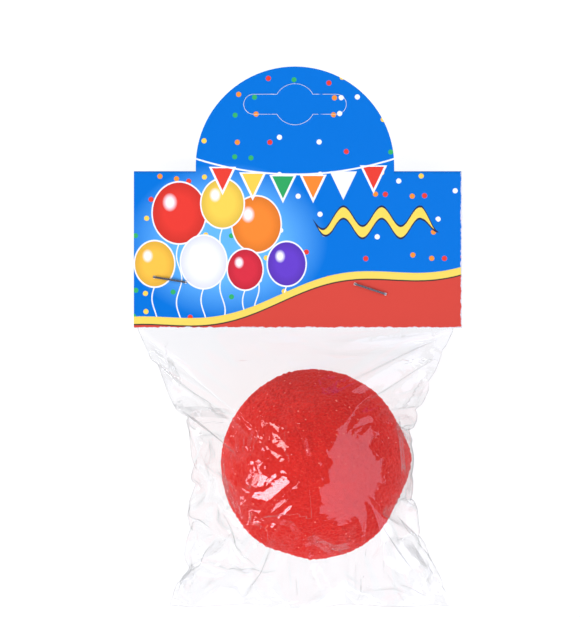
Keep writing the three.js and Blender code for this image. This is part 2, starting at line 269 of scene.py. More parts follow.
def sponge_finish():
    material, tree, shader = finish_tree("sponge")
    place = place_in_mm(tree)
    pore = ramp_between(tree, cells_of(tree, place, 0.52)["Distance"], 0.1, 0.6)
    grain = noise_of(tree, place, 0.5, 3, 0.65)
    blotch = noise_of(tree, place, 6.0, 2)
    red = colour_over(tree, (0.73, 0.022, 0.015, 1), blotch, (0.84, 0.032, 0.019, 1))
    # Painted shade: the low spots of the cells and grain, which the bump sinks, are painted a darker
    # red.
    pore_shade = ramp_between(tree, math_of(tree, "MULTIPLY_ADD", grain, 1.6, pore), 1.45, 0.7, 0.0, 0.45)
    red = colour_over(tree, red, pore_shade, (0.46, 0.008, 0.009, 1))
    # Painted highlight: the raised struts, which the bump lifts, are painted a lighter red, as if lit.
    strut_highlight = ramp_between(tree, grain, 0.55, 0.72, 0.0, 0.5)
    red = colour_over(tree, red, strut_highlight, (0.95, 0.14, 0.09, 1))
    speck = cells_of(tree, place, 2.0)
    small = ramp_between(tree, speck["Distance"], 0.13, 0.08)
    some = math_of(tree, "GREATER_THAN", split(tree, speck["Color"])[0], 0.4)
    red = colour_over(tree, red, math_of(tree, "MULTIPLY", small, some), (1.0, 0.30, 0.22, 1))
    tree.links.new(red, shader.inputs["Base Color"])
    shader.inputs["Roughness"].default_value = 0.95
    shader.inputs["Diffuse Roughness"].default_value = 1.0
    shader.inputs["Specular IOR Level"].default_value = 0.15
    shader.inputs["Sheen Weight"].default_value = 0.25
    shader.inputs["Sheen Roughness"].default_value = 0.5
    shader.inputs["Sheen Tint"].default_value = (1.0, 0.3, 0.3, 1)
    height = math_of(tree, "MULTIPLY_ADD", grain, 1.4, pore)
    tree.links.new(bump_of(tree, height, 0.13 * mm, 0.7), shader.inputs["Normal"])
    return material


nose.data.materials.clear()
nose.data.materials.append(sponge_finish())
lay_in_pack(nose, "nose")


# Clear film bag: a flat tube of thin clear film, sealed across its lower end. The ball
# is pushed in and spreads the two layers, so the bag's sides draw in and pucker.
# The film is laid out flat and simulated as cloth while the ball grows to its size.
film_thickness = 0.06 * mm
film_width = 84.6 * mm
film_length = 92.5 * mm
film_middle = -5.2 * mm
film_step = 1.2 * mm
layer_gap = 0.8 * mm
neck_gap = 0.4 * mm
card_edge = 36.0 * mm
seal_edge = -37.9 * mm
neck_length = 38.6 * mm
seal_width = 75.2 * mm
seal_middle = -1.5 * mm
seal_band = 3 * mm
weld_gap = 0.2 * mm
left_waist = -32.4 * mm
right_waist = 27.9 * mm
crease_noise = 0.5 * mm
crease_size = 11 * mm
neck_step = 2 * mm
edge_share = 0.0001
edge_hold = 0.6
near_enough = 0.05 * mm
seal_line = 0.01 * mm
past_seal = 0.04
ball_touch = 0.4 * mm
film_touch = 0.3 * mm
first_scale = 0.03
simulated_scale = 20
growing_frames = 40
settling_frames = 12

# Outline of the filled bag, as the part has it: drop is a share of the length from the
# card's edge to the seal, left and right go from the waist, 0, to the corner, 1.
OUTLINE = [
    {"drop": 0.0, "left": 1.0, "right": 1.0},
    {"drop": 0.08, "left": 0.88, "right": 0.79},
    {"drop": 0.15, "left": 0.71, "right": 0.6},
    {"drop": 0.21, "left": 0.55, "right": 0.38},
    {"drop": 0.26, "left": 0.36, "right": 0.2},
    {"drop": 0.31, "left": 0.1, "right": 0.02},
    {"drop": 0.37, "left": 0.03, "right": 0.0},
    {"drop": 0.44, "left": -0.04, "right": 0.06},
    {"drop": 0.51, "left": 0.0, "right": 0.1},
    {"drop": 0.58, "left": 0.04, "right": 0.0},
    {"drop": 0.65, "left": 0.07, "right": 0.0},
    {"drop": 0.78, "left": 0.07, "right": 0.02},
    {"drop": 0.85, "left": 0.07, "right": 0.38},
    {"drop": 0.94, "left": 0.5, "right": 0.71},
    {"drop": 1.0, "left": 1.0, "right": 1.0},
]

# Puckers of the bag's edges, in and out of its plane: where each is along the edge,
# how far it stands out in millimetres, and how long it is, as a share of the edge.
PUCKERS = {
    "left": [
        {"at": 0.13, "out": 2.4, "long": 0.05},
        {"at": 0.225, "out": -2.2, "long": 0.04},
        {"at": 0.30, "out": 3.0, "long": 0.028},
        {"at": 0.36, "out": -1.6, "long": 0.03},
        {"at": 0.52, "out": 1.4, "long": 0.07},
        {"at": 0.70, "out": -1.8, "long": 0.05},
        {"at": 0.80, "out": 2.4, "long": 0.05},
        {"at": 0.91, "out": -2.2, "long": 0.05},
    ],
    "right": [
        {"at": 0.10, "out": -2.0, "long": 0.05},
        {"at": 0.19, "out": 2.8, "long": 0.045},
        {"at": 0.28, "out": -2.4, "long": 0.04},
        {"at": 0.42, "out": 1.6, "long": 0.06},
        {"at": 0.60, "out": -1.6, "long": 0.06},
        {"at": 0.72, "out": 2.6, "long": 0.045},
        {"at": 0.82, "out": -2.4, "long": 0.05},
        {"at": 0.92, "out": 1.6, "long": 0.04},
    ],
    "seal": [
        {"at": 0.10, "out": 2.5, "long": 0.07},
        {"at": 0.27, "out": -3.2, "long": 0.08},
        {"at": 0.46, "out": 3.4, "long": 0.08},
        {"at": 0.64, "out": -2.6, "long": 0.07},
        {"at": 0.80, "out": 3.2, "long": 0.07},
        {"at": 0.93, "out": -1.5, "long": 0.04},
    ],
}


def pucker(edge, share):
    """How far an edge stands out of the bag's plane, that share of the way along it."""
    out = 0
    for row in PUCKERS[edge]:
        out += row["out"] * mm * math.exp(-(((share - row["at"]) / row["long"]) ** 2))
    return out


def side_of_bag(side, share):
    """Where the bag's left or right edge is, that share of the way down."""
    middle, width = (film_middle, film_width) if share < 0.5 else (seal_middle, seal_width)
    sign = -1 if side == "left" else 1
    waist = left_waist if side == "left" else right_waist
    corner = middle + sign * width / 2
    for above, below in zip(OUTLINE, OUTLINE[1:]):
        if share <= below["drop"]:
            part = (share - above["drop"]) / (below["drop"] - above["drop"])
            return waist + (corner - waist) * (above[side] + (below[side] - above[side]) * part)
    return corner


def flat_layer(side):
    """One flat layer of film with its loose creases. side is 1 in front, -1 behind."""
    deselect_all()
    bpy.ops.mesh.primitive_grid_add(
        x_subdivisions=round(film_width / film_step),
        y_subdivisions=round(film_length / film_step),
        size=1,
    )
    layer = bpy.context.object
    for vertex in layer.data.vertices:
        across, up = vertex.co.x, vertex.co.y + 0.5
        x = film_middle + film_width * across
        y = card_edge - film_length * (1 - up)
        welded = abs(across) > 0.5 - edge_share or up < edge_share
        at_neck = up > 1 - edge_share
        crease = crease_noise * noise.noise(Vector((x / crease_size, y / crease_size, 3 * side)))
        z = 0 if welded else side * neck_gap / 2 if at_neck else side * layer_gap / 2 + crease
        vertex.co = (x, y, z)
    if side < 0:
        bpy.ops.object.mode_set(mode="EDIT")
        bpy.ops.mesh.select_all(action="SELECT")
        bpy.ops.mesh.flip_normals()
        bpy.ops.object.mode_set(mode="OBJECT")
    return layer


def flat_bag():
    """The two flat layers, joined along the sides and the lower edge."""
    front, back = flat_layer(1), flat_layer(-1)
    deselect_all()
    front.select_set(True)
    back.select_set(True)
    bpy.context.view_layer.objects.active = front
    bpy.ops.object.join()
    bpy.ops.object.mode_set(mode="EDIT")
    bpy.ops.mesh.select_all(action="SELECT")
    bpy.ops.mesh.remove_doubles(threshold=near_enough)
    bpy.ops.object.mode_set(mode="OBJECT")
    return front


def guide_edges(bag):
    """The bag's edges go from flat to the outline of the filled bag, and the neck stays."""
    bag.shape_key_add(name="flat")
    filled = bag.shape_key_add(name="filled")
    held = bag.vertex_groups.new(name="held")
    left_edge = film_middle - film_width / 2
    for vertex in bag.data.vertices:
        share = (card_edge - vertex.co.y) / film_length
        across = (vertex.co.x - left_edge) / film_width
        y = card_edge + (seal_edge - card_edge) * share
        side = "left" if across < edge_share else "right" if across > 1 - edge_share else None
        if share < edge_share:
            held.add([vertex.index], 1.0, "REPLACE")
        elif share > 1 - edge_share:
            x = seal_middle + seal_width * (across - 0.5)
            filled.data[vertex.index].co = (x, y, pucker("seal", across))
            held.add([vertex.index], 1.0, "REPLACE")
        elif side:
            filled.data[vertex.index].co = (side_of_bag(side, share), y, pucker(side, share))
            held.add([vertex.index], edge_hold, "REPLACE")
    filled.value = 0
    filled.keyframe_insert("value", frame=1)
    filled.value = 1
    filled.keyframe_insert("value", frame=growing_frames)


def growing_ball():
    deselect_all()
    bpy.ops.mesh.primitive_ico_sphere_add(subdivisions=5, radius=ball_radius * simulated_scale)
    ball = bpy.context.object
    press_dents(ball)
    ball.scale = (first_scale, first_scale, first_scale)
    ball.keyframe_insert("scale", frame=1)
    ball.scale = (1, 1, 1)
    ball.keyframe_insert("scale", frame=growing_frames)
    ball.modifiers.new("touch", "COLLISION")
    ball.collision.thickness_outer = ball_touch * simulated_scale
    ball.collision.cloth_friction = 1
    return ball


def fill_bag(bag):
    """Simulates the film at twenty times its size, where the cloth's least distances are small."""
    ball = growing_ball()
    cloth = bag.modifiers.new("film", "CLOTH")
    stuff, touch = cloth.settings, cloth.collision_settings
    stuff.quality = 8
    stuff.mass = 0.05
    stuff.air_damping = 2
    stuff.tension_stiffness = stuff.compression_stiffness = 80
    stuff.shear_stiffness = 60
    stuff.bending_stiffness = 0.6
    stuff.tension_damping = stuff.compression_damping = stuff.shear_damping = 10
    stuff.bending_damping = 0.8
    stuff.vertex_group_mass = "held"
    stuff.effector_weights.gravity = 0
    touch.distance_min = film_touch * simulated_scale
    touch.collision_quality = 3
    touch.use_self_collision = False
    last = growing_frames + settling_frames
    cloth.point_cache.frame_end = last
    for frame_number in range(1, last + 1):
        bpy.context.scene.frame_set(frame_number)
    deselect_all()
    bag.select_set(True)
    bpy.context.view_layer.objects.active = bag
    bpy.ops.object.convert(target="MESH")
    bpy.data.objects.remove(ball)
    bpy.context.scene.frame_set(1)


def press_seal(bag):
    """The lower edge is welded, so the two layers close on it and end at it."""
    for vertex in bag.data.vertices:
        x, y, z = vertex.co
        share = (y - seal_edge) / seal_band
        if share < 1:
            weld = pucker("seal", (x - seal_middle) / seal_width + 0.5)
            layer = weld_gap / 2 if z > weld else -weld_gap / 2
            vertex.co.y = seal_edge + seal_band * max(share, past_seal * share)
            if abs(y - seal_edge) > seal_line:
                vertex.co.z = weld + layer + (z - weld - layer) * max(share, 0)


def raise_neck(bag):
    """The neck goes on up between the card's two panels as two flat layers."""
    deselect_all()
    bag.select_set(True)
    bpy.context.view_layer.objects.active = bag
    bpy.ops.object.mode_set(mode="EDIT")
    bpy.ops.mesh.select_mode(type="VERT")
    bpy.ops.mesh.select_all(action="DESELECT")
    bpy.ops.object.mode_set(mode="OBJECT")
    for vertex in bag.data.vertices:
        vertex.select = abs(vertex.co.y - card_edge) < near_enough
    bpy.ops.object.mode_set(mode="EDIT")
    for step in (neck_step, neck_length - neck_step):
        bpy.ops.mesh.extrude_edges_move(TRANSFORM_OT_translate={"value": (0, step, 0)})
    bpy.ops.object.mode_set(mode="OBJECT")


# Sharp creases of the front layer, by points in the pack's plane in millimetres: wide is
# half the crease's width, steep the slope of its two sides.
CREASES = [
    {"wide": 1.3, "steep": 2.2, "at": [(-37.1, 16.2), (-35.0, 14.0), (-29.7, 14.3), (-19.1, 13.8)]},
    {"wide": 0.8, "steep": 0.38, "at": [(-20.0, 14.0), (-13.8, 12.7), (-12.4, 9.3), (-18.0, -7.2)]},
    {"wide": 1.6, "steep": 0.5, "at": [(-15.0, 0.5), (-18.3, -8.0), (-17.2, -13.5), (-18.8, -17.3)]},
    {"wide": 1.5, "steep": 0.35, "at": [(-17.2, -13.2), (-10.6, -8.8), (-3.8, -2.6)]},
    {"wide": 0.5, "steep": 0.8, "at": [(-23.0, -6.0), (-21.0, -9.0), (-18.6, -15.6)]},
    {"wide": 0.6, "steep": 0.9, "at": [(-24.6, 5.0), (-24.2, -1.0), (-22.4, -9.0), (-19.4, -15.0)]},
    {"wide": 0.5, "steep": 0.7, "at": [(-21.6, 11.6), (-20.4, 7.0), (-20.2, 3.4)]},
    {"wide": 0.5, "steep": 0.8, "at": [(-15.6, 11.0), (-17.0, 7.6), (-17.4, 4.6)]},
    {"wide": 0.6, "steep": 0.6, "at": [(-5.4, 13.0), (-3.0, 8.0), (-1.6, 3.0)]},
    {"wide": 0.6, "steep": 1.5, "at": [(21.4, 13.0), (22.4, 7.0), (23.2, -3.2)]},
    {"wide": 0.8, "steep": 0.5, "at": [(-17.0, -13.8), (-11.0, -13.2), (-6.4, -14.3), (-3.7, -17.8)]},
    {"wide": 1.2, "steep": 0.7, "at": [(-3.0, -19.6), (-0.5, -18.4), (2.4, -20.4), (5.4, -22.6)]},
    {"wide": 0.9, "steep": 0.8, "at": [(-0.4, -18.6), (4.8, -21.0), (9.6, -20.2)]},
    {"wide": 1.8, "steep": 1.0, "at": [(-21.8, -17.0), (-23.6, -21.8), (-32.4, -28.4), (-35.5, -34.2)]},
    {"wide": 1.0, "steep": 1.1, "at": [(-22.6, -18.0), (-26.4, -21.8), (-31.0, -27.8), (-32.6, -33.0)]},
    {"wide": 1.0, "steep": 1.0, "at": [(18.8, -18.3), (24.7, -20.7), (30.5, -30.3), (33.2, -34.2)]},
    {"wide": 0.5, "steep": 1.1, "at": [(17.8, -19.1), (14.6, -24.7)]},
    {"wide": 1.0, "steep": 0.9, "at": [(14.2, -31.4), (12.8, -38.0)]},
    {"wide": 0.6, "steep": 0.9, "at": [(11.0, -24.0), (11.0, -34.8)]},
    {"wide": 1.3, "steep": 0.6, "at": [(3.4, -32.0), (0.0, -35.6), (-2.6, -37.6)]},
    {"wide": 0.8, "steep": 1.1, "at": [(32.4, 24.6), (29.2, 22.3), (28.4, 20.7), (25.5, 16.2)]},
    {"wide": 0.5, "steep": 1.0, "at": [(27.0, 21.8), (22.5, 14.3)]},
    {"wide": 0.8, "steep": 1.0, "at": [(29.0, -8.6), (26.6, -11.2), (24.6, -12.4)]},
    {"wide": 0.9, "steep": 1.0, "at": [(-38.2, 30.4), (-37.9, 26.0), (-35.5, 21.5)]},
    {"wide": 2.2, "steep": 0.7, "at": [(-45.0, 32.6), (-41.0, 26.0), (-36.4, 19.0)]},
    {"wide": 1.6, "steep": 0.4, "at": [(-22.3, 30.2), (0.0, 30.9), (18.0, 30.0), (36.4, 32.6)]},
    {"wide": 0.9, "steep": 1.0, "at": [(-33.0, 13.0), (-33.0, 9.4)]},
]

# Where the front layer is crumpled into small flat facets, and how far these tilt.
CRUMPLES = [
    {"x": -8, "y": 9, "reach": 7, "tilt": 0.26},
    {"x": -20, "y": 2, "reach": 8, "tilt": 0.20},
    {"x": -12, "y": -17, "reach": 7, "tilt": 0.22},
    {"x": 8, "y": 2, "reach": 14, "tilt": 0.17},
]
smooth_tilt = 0.03
no_crease = (9.0, 1.0, 0.0)


def nearest_on(row, x, y):
    """Signed distance from a crease, and how far along the crease that is, from 0 to 1."""
    best, along = None, 0.0
    stretches = list(zip(row["at"], row["at"][1:]))
    for number, (start, end) in enumerate(stretches):
        dx, dy = end[0] - start[0], end[1] - start[1]
        part = ((x - start[0]) * dx + (y - start[1]) * dy) / (dx * dx + dy * dy)
        part = min(max(part, 0), 1)
        off_x, off_y = x - start[0] - part * dx, y - start[1] - part * dy
        away = math.hypot(off_x, off_y)
        if best is None or away < abs(best):
            best = away if dx * off_y - dy * off_x > 0 else -away
            along = (number + part) / len(stretches)
    return best, along


def mark_creases(bag):
    """Stores each point's distance from the nearest crease, that crease's width and slope,
    and how far the facets there tilt."""
    reach = 2.5 * mm
    creases, tilts, boxes = [], [], []
    for row in CREASES:
        xs, ys = [p[0] * mm for p in row["at"]], [p[1] * mm for p in row["at"]]
        boxes.append((min(xs) - reach, max(xs) + reach, min(ys) - reach, max(ys) + reach))
    for vertex in bag.data.vertices:
        found, tilt = no_crease, smooth_tilt
        x, y, z = vertex.co
        if vertex.normal.z > 0:
            for row, (left, right, low, high) in zip(CREASES, boxes):
                if left < x < right and low < y < high:
                    away, along = nearest_on(row, x / mm, y / mm)
                    if abs(away) / row["wide"] < abs(found[0]) / found[1]:
                        found = (away, row["wide"], row["steep"] * min(1, 5 * along, 5 * (1 - along)))
            for spot in CRUMPLES:
                away = math.hypot(x / mm - spot["x"], y / mm - spot["y"]) / spot["reach"]
                tilt += spot["tilt"] * math.exp(-away * away)
        creases.extend(found)
        tilts.append(tilt)
    mark = bag.data.attributes.new("crease", "FLOAT_VECTOR", "POINT")
    mark.data.foreach_set("vector", creases)
    crumpled = bag.data.attributes.new("crumple", "FLOAT", "POINT")
    crumpled.data.foreach_set("value", tilts)


bag = flat_bag()
bag.name = "bag_film"
guide_edges(bag)
bag.data.transform(Matrix.Scale(simulated_scale, 4), shape_keys=True)
fill_bag(bag)
bag.data.transform(Matrix.Scale(1 / simulated_scale, 4))
press_seal(bag)
raise_neck(bag)
rounder = bag.modifiers.new("rounder", "SUBSURF")
rounder.levels = rounder.render_levels = 1
apply_modifiers(bag)
mark_creases(bag)
wall = bag.modifiers.new("wall", "SOLIDIFY")
wall.thickness = film_thickness
wall.offset = 0
apply_modifiers(bag)
for face in bag.data.polygons:
    face.use_smooth = True


film_roughness = 0.02
least_mirrored = 0.033
slant_mirrored = 0.5


def film_finish():
    """Clear film: what is behind shows through, and more is mirrored the more it slants."""
    material = bpy.data.materials.new("film")
    material.use_nodes = True
    tree = material.node_tree
    tree.nodes.clear()
    place = place_in_mm(tree)

    stir = tree.nodes.new("ShaderNodeTexNoise")
    tree.links.new(place, stir.inputs["Vector"])
    stir.inputs["Scale"].default_value = 1 / 5.0
    stir.inputs["Detail"].default_value = 1.5
    stirred = tree.nodes.new("ShaderNodeVectorMath")
    stirred.operation = "MULTIPLY_ADD"
    stirred.inputs[1].default_value = (7, 9, 7)
    tree.links.new(stir.outputs["Color"], stirred.inputs[0])
    tree.links.new(place, stirred.inputs[2])
    drawn = tree.nodes.new("ShaderNodeMapping")
    drawn.inputs["Scale"].default_value = (1 / 2.4, 1 / 5.5, 1 / 5.5)
    tree.links.new(stirred.outputs[0], drawn.inputs["Vector"])
    shard = cells_of(tree, drawn.outputs[0], 1.0)["Color"]
    tilt = tree.nodes.new("ShaderNodeAttribute")
    tilt.attribute_name = "crumple"
    centred = tree.nodes.new("ShaderNodeVectorMath")
    centred.operation = "SUBTRACT"
    tree.links.new(shard, centred.inputs[0])
    centred.inputs[1].default_value = (0.5, 0.5, 0.5)
    tilted = tree.nodes.new("ShaderNodeVectorMath")
    tilted.operation = "SCALE"
    tree.links.new(centred.outputs[0], tilted.inputs[0])
    tree.links.new(tilt.outputs["Fac"], tilted.inputs["Scale"])
    surface = tree.nodes.new("ShaderNodeNewGeometry")
    turned = tree.nodes.new("ShaderNodeVectorMath")
    tree.links.new(surface.outputs["Normal"], turned.inputs[0])
    tree.links.new(tilted.outputs[0], turned.inputs[1])
    facet = tree.nodes.new("ShaderNodeVectorMath")
    facet.operation = "NORMALIZE"
    tree.links.new(turned.outputs[0], facet.inputs[0])

    crease = tree.nodes.new("ShaderNodeAttribute")
    crease.attribute_name = "crease"
    away, wide, steep = split(tree, crease.outputs["Vector"])
    from_edge = math_of(tree, "SUBTRACT", wide, math_of(tree, "ABSOLUTE", away))
    ridge = math_of(tree, "MULTIPLY", math_of(tree, "MAXIMUM", from_edge, 0.0), steep)
    height = math_of(tree, "MULTIPLY_ADD", noise_of(tree, place, 4.0, 2), 0.25, ridge)
    bump = tree.nodes.new("ShaderNodeBump")
    bump.inputs["Distance"].default_value = 1 * mm
    tree.links.new(height, bump.inputs["Height"])
    tree.links.new(facet.outputs[0], bump.inputs["Normal"])
    normal = bump.outputs["Normal"]

    slant = tree.nodes.new("ShaderNodeLayerWeight")
    slant.inputs["Blend"].default_value = 0.5
    tree.links.new(normal, slant.inputs["Normal"])
    rise = math_of(tree, "POWER", slant.outputs["Facing"], 5.0)
    mirrored = math_of(tree, "MULTIPLY_ADD", rise, slant_mirrored, least_mirrored)
    clear = tree.nodes.new("ShaderNodeBsdfTransparent")
    gloss = tree.nodes.new("ShaderNodeBsdfGlossy")
    gloss.inputs["Roughness"].default_value = film_roughness
    tree.links.new(normal, gloss.inputs["Normal"])
    both = tree.nodes.new("ShaderNodeMixShader")
    tree.links.new(mirrored, both.inputs[0])
    tree.links.new(clear.outputs[0], both.inputs[1])
    tree.links.new(gloss.outputs[0], both.inputs[2])
    end = tree.nodes.new("ShaderNodeOutputMaterial")
    tree.links.new(both.outputs[0], end.inputs["Surface"])
    return material


bag.data.materials.clear()
bag.data.materials.append(film_finish())
lay_in_pack(bag, "bag")


# Header card: one sheet of board, printed and varnished outside and bare white inside,
# folded over the bag's neck. The round tab is cut from the back panel and stands up.
# Its hanging slot is cut round but not punched out, and the cut edges show white core.
card_middle = -4.5 * mm
card_foot = card_edge + 0.1 * mm

# Sizes and places on the print are in millimetres.
card_width = 87.0
tab_middle = -0.8
slot_width = 27.2
slot_height = 5.3
slot_round = 10.9
slot_middle = 59.3


def place_on_card(tree):
    """Place in millimetres from the middle of the card's lower edge, in its own plane."""
    where = tree.nodes.new("ShaderNodeTexCoord")
    turned = tree.nodes.new("ShaderNodeMapping")
    tree.links.new(where.outputs["Object"], turned.inputs["Vector"])
    turned.inputs["Scale"].default_value = (1 / mm, 1 / mm, 1 / mm)
    turned.inputs["Rotation"].default_value = (lean, 0, 0)
    start = Matrix.Rotation(lean, 3, "X") @ Vector((0, 0, -film_radius))
    start -= Vector((card_middle, card_foot, 0))
    turned.inputs["Location"].default_value = start / mm
    return turned.outputs["Vector"]


def distance_to(tree, place, x, y, squash=1.0):
    """Distance from a point of the card, with the height squashed for an oval."""
    node = tree.nodes.new("ShaderNodeMapping")
    node.inputs["Scale"].default_value = (1, squash, 0)
    node.inputs["Location"].default_value = (-x, -y * squash, 0)
    tree.links.new(place, node.inputs["Vector"])
    length = tree.nodes.new("ShaderNodeVectorMath")
    length.operation = "LENGTH"
    tree.links.new(node.outputs[0], length.inputs[0])
    return length.outputs["Value"]


def inside(tree, value, limit, soft=0.07):
    return ramp_between(tree, value, limit + soft, limit - soft)


blue_ink = (0.0, 0.164, 0.59, 1)
white_ink = (0.9, 0.91, 0.92, 1)

CONFETTI = [
    white_ink,
    (0.93, 0.62, 0.08, 1),
    (0.78, 0.05, 0.03, 1),
    (0.04, 0.42, 0.12, 1),
    (0.9, 0.28, 0.03, 1),
]

BALLOONS = [
    {"x": -31.5, "y": 30.5, "r": 7.0, "colour": (0.78, 0.045, 0.03, 1)},
    {"x": -11.0, "y": 27.5, "r": 6.4, "colour": (0.90, 0.24, 0.03, 1)},
    {"x": -38.0, "y": 17.0, "r": 5.2, "colour": (0.93, 0.52, 0.06, 1)},
    {"x": -25.0, "y": 17.5, "r": 6.0, "colour": (0.90, 0.91, 0.92, 1)},
    {"x": -3.0, "y": 17.0, "r": 5.0, "colour": (0.13, 0.05, 0.50, 1)},
    {"x": -20.0, "y": 33.0, "r": 5.6, "colour": (0.93, 0.62, 0.08, 1)},
    {"x": -14.0, "y": 15.5, "r": 4.6, "colour": (0.66, 0.03, 0.05, 1)},
]

PENNANTS = [
    {"x": -20.0, "colour": (0.78, 0.05, 0.03, 1)},
    {"x": -12.0, "colour": (0.92, 0.60, 0.07, 1)},
    {"x": -4.0, "colour": (0.03, 0.36, 0.10, 1)},
    {"x": 4.0, "colour": (0.90, 0.24, 0.03, 1)},
    {"x": 12.0, "colour": (0.90, 0.91, 0.92, 1)},
    {"x": 20.0, "colour": (0.78, 0.05, 0.03, 1)},
]


def printed_picture(tree, place):
    """A generic party print: confetti and pennants on blue, balloons, and a red ground."""
    x, y, _ = split(tree, place)
    glow = ramp_between(tree, distance_to(tree, place, -19, 23, 1.3), 27, 13, 0.0, 0.8)
    picture = colour_over(tree, blue_ink, glow, (0.16, 0.52, 0.90, 1))

    dots = tree.nodes.new("ShaderNodeTexVoronoi")
    dots.voronoi_dimensions = "2D"
    dots.inputs["Scale"].default_value = 1 / 5.2
    tree.links.new(place, dots.inputs["Vector"])
    hue = tree.nodes.new("ShaderNodeValToRGB")
    hue.color_ramp.interpolation = "CONSTANT"
    stops = hue.color_ramp.elements
    for i, colour in enumerate(CONFETTI):
        stop = stops[i] if i < 2 else stops.new(i / len(CONFETTI))
        stop.position = i / len(CONFETTI)
        stop.color = colour
    tree.links.new(split(tree, dots.outputs["Color"])[0], hue.inputs[0])
    few = math_of(tree, "GREATER_THAN", split(tree, dots.outputs["Color"])[1], 0.45)
    confetti = math_of(tree, "MULTIPLY", inside(tree, dots.outputs["Distance"], 0.13, 0.012), few)
    picture = colour_over(tree, picture, confetti, hue.outputs[0])

    for row in BALLOONS:
        knot = math_of(tree, "SUBTRACT", y, row["y"] - 1.15 * row["r"])
        sway = math_of(tree, "SINE", math_of(tree, "MULTIPLY", knot, 0.5))
        beside = math_of(tree, "MULTIPLY_ADD", sway, -0.7, math_of(tree, "SUBTRACT", x, row["x"]))
        string = inside(tree, math_of(tree, "ABSOLUTE", beside), 0.16)
        string = math_of(tree, "MULTIPLY", string, inside(tree, knot, 0.0))
        picture = colour_over(tree, picture, string, white_ink)
    for row in BALLOONS:
        away = distance_to(tree, place, row["x"], row["y"], 0.87)
        shine = distance_to(tree, place, row["x"] - 0.35 * row["r"], row["y"] + 0.4 * row["r"], 0.8)
        shade = ramp_between(tree, away, 0.55 * row["r"], 1.1 * row["r"], 0.0, 0.5)
        dark = tuple(0.45 * c for c in row["colour"][:3]) + (1,)
        skin = colour_over(tree, row["colour"], shade, dark)
        glint = inside(tree, shine, 0.20 * row["r"], 0.09 * row["r"])
        skin = colour_over(tree, skin, glint, (1, 0.97, 0.95, 1))
        picture = colour_over(tree, picture, inside(tree, away, row["r"] + 0.35), white_ink)
        picture = colour_over(tree, picture, inside(tree, away, row["r"]), skin)

    for row in PENNANTS:
        sag = 40.5 + 0.006 * (row["x"] - tab_middle) ** 2
        drop = math_of(tree, "SUBTRACT", sag, y)
        aside = math_of(tree, "ABSOLUTE", math_of(tree, "SUBTRACT", x, row["x"]))
        reach = math_of(tree, "MULTIPLY_ADD", drop, 0.48, aside)
        hung = math_of(tree, "GREATER_THAN", drop, 0.0)
        edge = math_of(tree, "MULTIPLY", inside(tree, reach, 3.6), hung)
        inner = math_of(tree, "GREATER_THAN", drop, 0.35)
        flag = math_of(tree, "MULTIPLY", inside(tree, reach, 3.0), inner)
        picture = colour_over(tree, picture, edge, white_ink)
        picture = colour_over(tree, picture, flag, row["colour"])
    bow = math_of(tree, "POWER", math_of(tree, "SUBTRACT", x, tab_middle), 2.0)
    line = math_of(tree, "SUBTRACT", math_of(tree, "MULTIPLY_ADD", bow, 0.006, 40.7), y)
    line = inside(tree, math_of(tree, "ABSOLUTE", line), 0.22)
    picture = colour_over(tree, picture, line, white_ink)

    curl = math_of(tree, "SINE", math_of(tree, "MULTIPLY_ADD", x, 0.62, 0.4))
    ribbon = math_of(tree, "SUBTRACT", y, math_of(tree, "MULTIPLY_ADD", curl, 2.6, 28.0))
    taper = math_of(tree, "MINIMUM", ramp_between(tree, x, 3, 9), ramp_between(tree, x, 38, 33))
    thin = math_of(tree, "MULTIPLY_ADD", taper, -2.2, 2.2)
    ribbon = math_of(tree, "ADD", math_of(tree, "ABSOLUTE", ribbon), thin)
    picture = colour_over(tree, picture, inside(tree, ribbon, 1.9), (0.02, 0.03, 0.08, 1))
    picture = colour_over(tree, picture, inside(tree, ribbon, 1.35), (0.92, 0.68, 0.10, 1))

    roll = math_of(tree, "SINE", math_of(tree, "MULTIPLY_ADD", x, 0.105, 0.5))
    ground = math_of(tree, "MULTIPLY_ADD", x, 0.20, math_of(tree, "MULTIPLY_ADD", roll, 2.4, 7.5))
    under = math_of(tree, "SUBTRACT", y, ground)
    picture = colour_over(tree, picture, inside(tree, under, 2.3), (0.87, 0.66, 0.11, 1))
    picture = colour_over(tree, picture, inside(tree, under, 0.35), (0.05, 0.04, 0.03, 1))
    return colour_over(tree, picture, inside(tree, under, 0.0), (0.64, 0.064, 0.042, 1))


def slot_distance(tree, x, y):
    """Distance from the hanging slot's cut, less than none on its flap."""
    aside = math_of(tree, "ABSOLUTE", math_of(tree, "SUBTRACT", x, tab_middle))
    above = math_of(tree, "SUBTRACT", y, slot_middle)
    beyond = math_of(tree, "SUBTRACT", aside, slot_width / 2 - slot_height / 2)
    beyond = math_of(tree, "MAXIMUM", beyond, 0.0)
    ends = []
    for across, radius in ((beyond, slot_height / 2), (aside, slot_round / 2)):
        square = math_of(tree, "MULTIPLY_ADD", across, across, math_of(tree, "MULTIPLY", above, above))
        ends.append(math_of(tree, "SUBTRACT", math_of(tree, "SQRT", square), radius))
    return math_of(tree, "MINIMUM", *ends)


